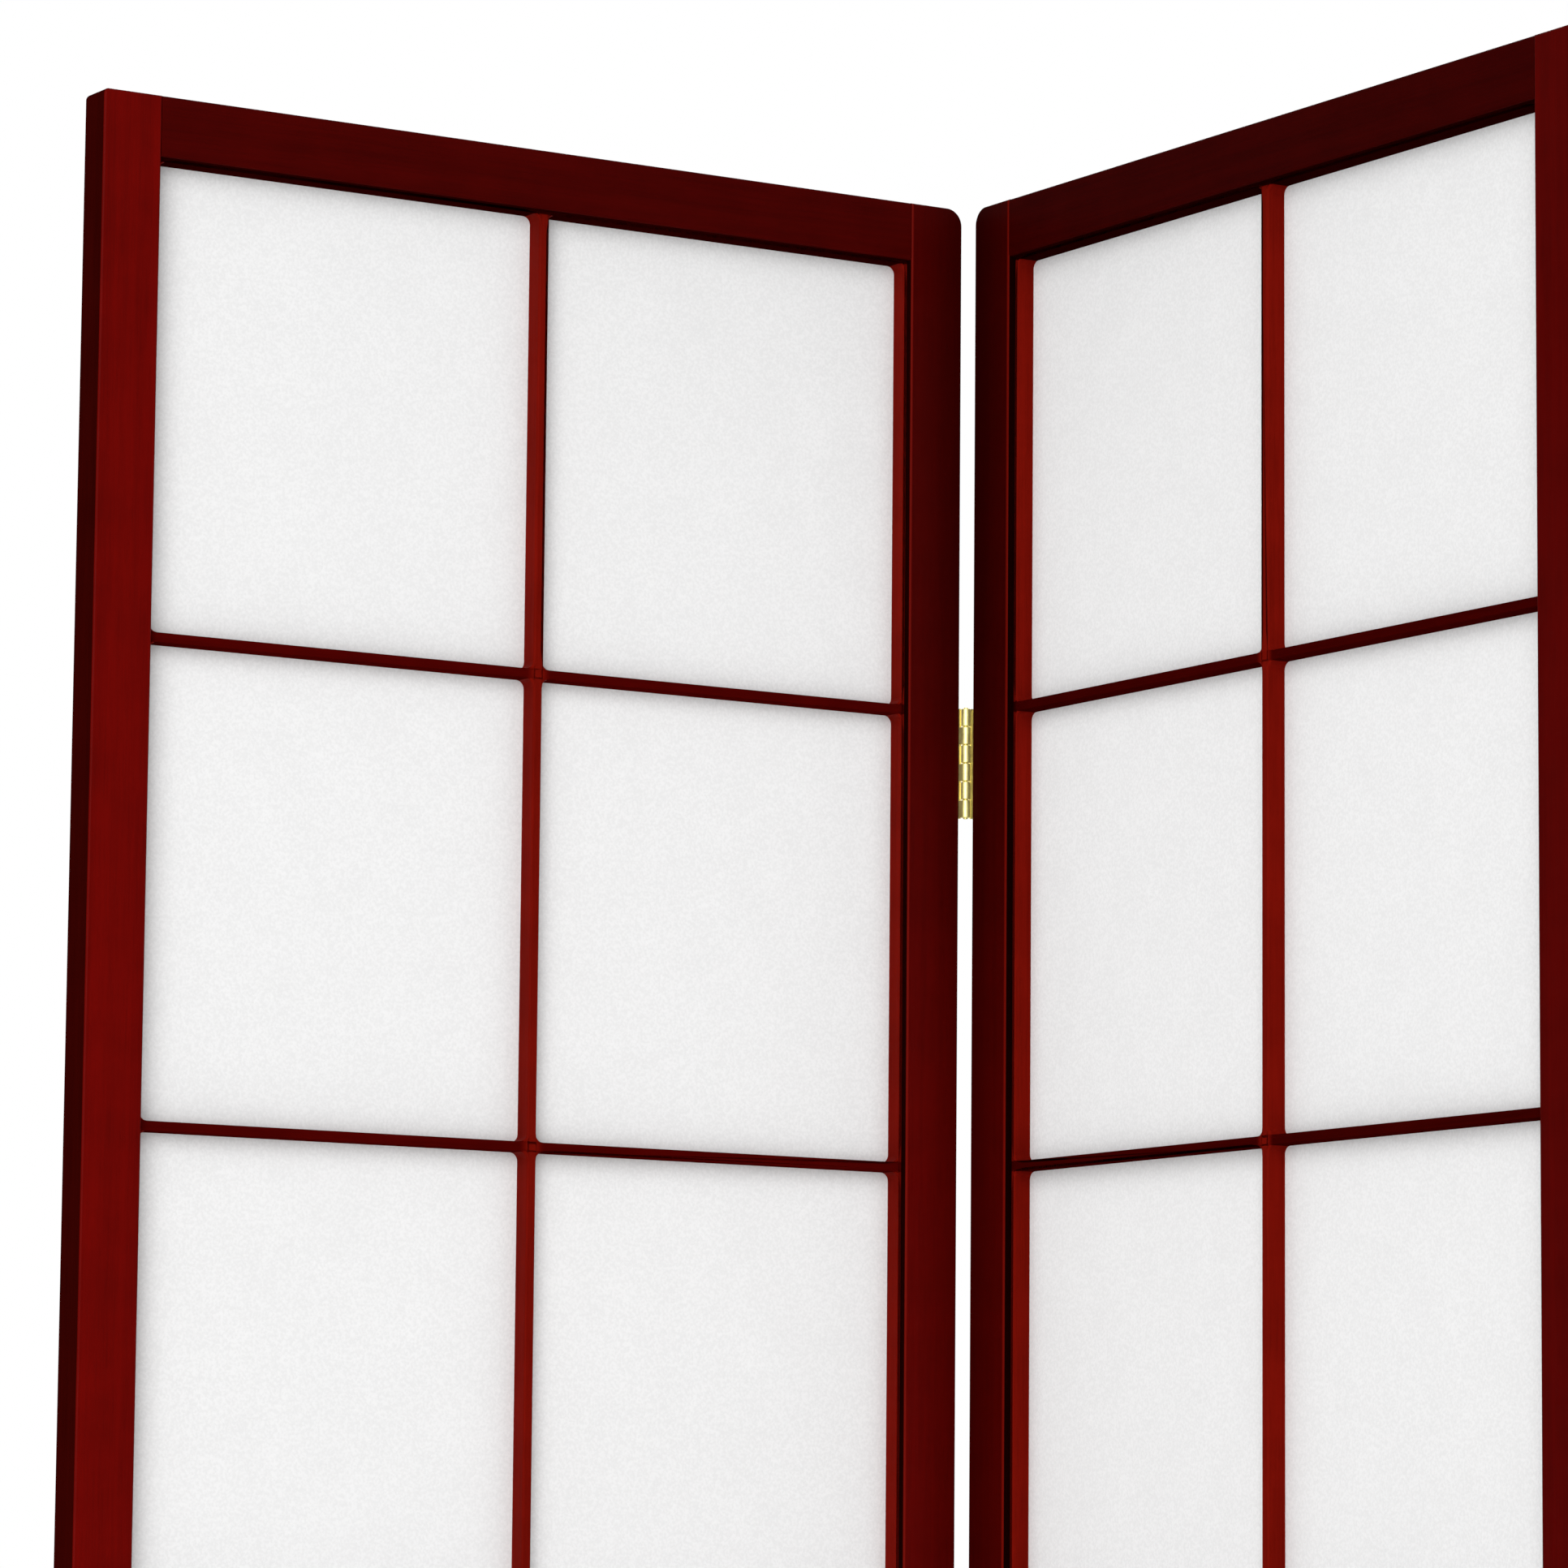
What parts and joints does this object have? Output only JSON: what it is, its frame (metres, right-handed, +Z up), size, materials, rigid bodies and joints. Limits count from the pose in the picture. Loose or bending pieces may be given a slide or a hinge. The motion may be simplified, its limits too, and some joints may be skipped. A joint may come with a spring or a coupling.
{
  "type": "folding shoji screen",
  "caption": "Folding paper-pane screen of lacquered wooden lattice panels, joined edge to edge by two-way brass hinges and standing open in a V on its stiles.",
  "frame": {"origin": "centre of the open V's plan, on the floor under the feet", "axes": "+Z up along the stiles; +Y from the V's open side to its folded edge; +X to the right seen from the open side"},
  "size_m": [0.6598, 0.3322, 1.784],
  "materials": {
    "upright_wood": "dark red lacquer over straight grain, satin",
    "crosswise_wood": "dark red lacquer over straight grain, satin",
    "paper": "matt white rice paper",
    "brass": "bright brass plate"
  },
  "bodies": {
    "hinge_links": {"bottom_hinge_front_pin": "brass", "bottom_hinge_middle_leaf": "brass", "bottom_hinge_rear_pin": "brass", "top_hinge_front_pin": "brass", "top_hinge_middle_leaf": "brass", "top_hinge_rear_pin": "brass"},
    "left_panel": {"bottom_hinge_left_leaf": "brass", "left_bottom_bead": "crosswise_wood", "left_bottom_rail": "crosswise_wood", "left_bottom_rim": "crosswise_wood", "left_cross_muntin_1": "crosswise_wood", "left_cross_muntin_2": "crosswise_wood", "left_cross_muntin_3": "crosswise_wood", "left_cross_muntin_4": "crosswise_wood", "left_cross_muntin_5": "crosswise_wood", "left_cross_muntin_6": "crosswise_wood", "left_cross_muntin_7": "crosswise_wood", "left_free_side_bead": "upright_wood", "left_free_side_rim": "upright_wood", "left_free_stile": "upright_wood", "left_hinge_side_bead": "upright_wood", "left_hinge_side_rim": "upright_wood", "left_hinge_stile": "upright_wood", "left_paper": "paper", "left_top_bead": "crosswise_wood", "left_top_rail": "crosswise_wood", "left_top_rim": "crosswise_wood", "left_upright_muntin_1": "upright_wood", "top_hinge_left_leaf": "brass"},
    "right_panel": {"bottom_hinge_right_leaf": "brass", "right_bottom_bead": "crosswise_wood", "right_bottom_rail": "crosswise_wood", "right_bottom_rim": "crosswise_wood", "right_cross_muntin_1": "crosswise_wood", "right_cross_muntin_2": "crosswise_wood", "right_cross_muntin_3": "crosswise_wood", "right_cross_muntin_4": "crosswise_wood", "right_cross_muntin_5": "crosswise_wood", "right_cross_muntin_6": "crosswise_wood", "right_cross_muntin_7": "crosswise_wood", "right_free_side_bead": "upright_wood", "right_free_side_rim": "upright_wood", "right_free_stile": "upright_wood", "right_hinge_side_bead": "upright_wood", "right_hinge_side_rim": "upright_wood", "right_hinge_stile": "upright_wood", "right_paper": "paper", "right_top_bead": "crosswise_wood", "right_top_rail": "crosswise_wood", "right_top_rim": "crosswise_wood", "right_upright_muntin_1": "upright_wood", "top_hinge_right_leaf": "brass"}
  },
  "joints": [
    {"name": "front_fold", "type": "hinge", "parent": "hinge_links", "child": "left_panel", "pos_m": [0, 0.14775, 0.892], "axis": [0, 0, 1], "range_deg": [-90, 90]},
    {"name": "rear_fold", "type": "hinge", "parent": "hinge_links", "child": "right_panel", "pos_m": [0.01612, 0.16387, 0.892], "axis": [0, 0, 1], "range_deg": [0, 180]}
  ]
}
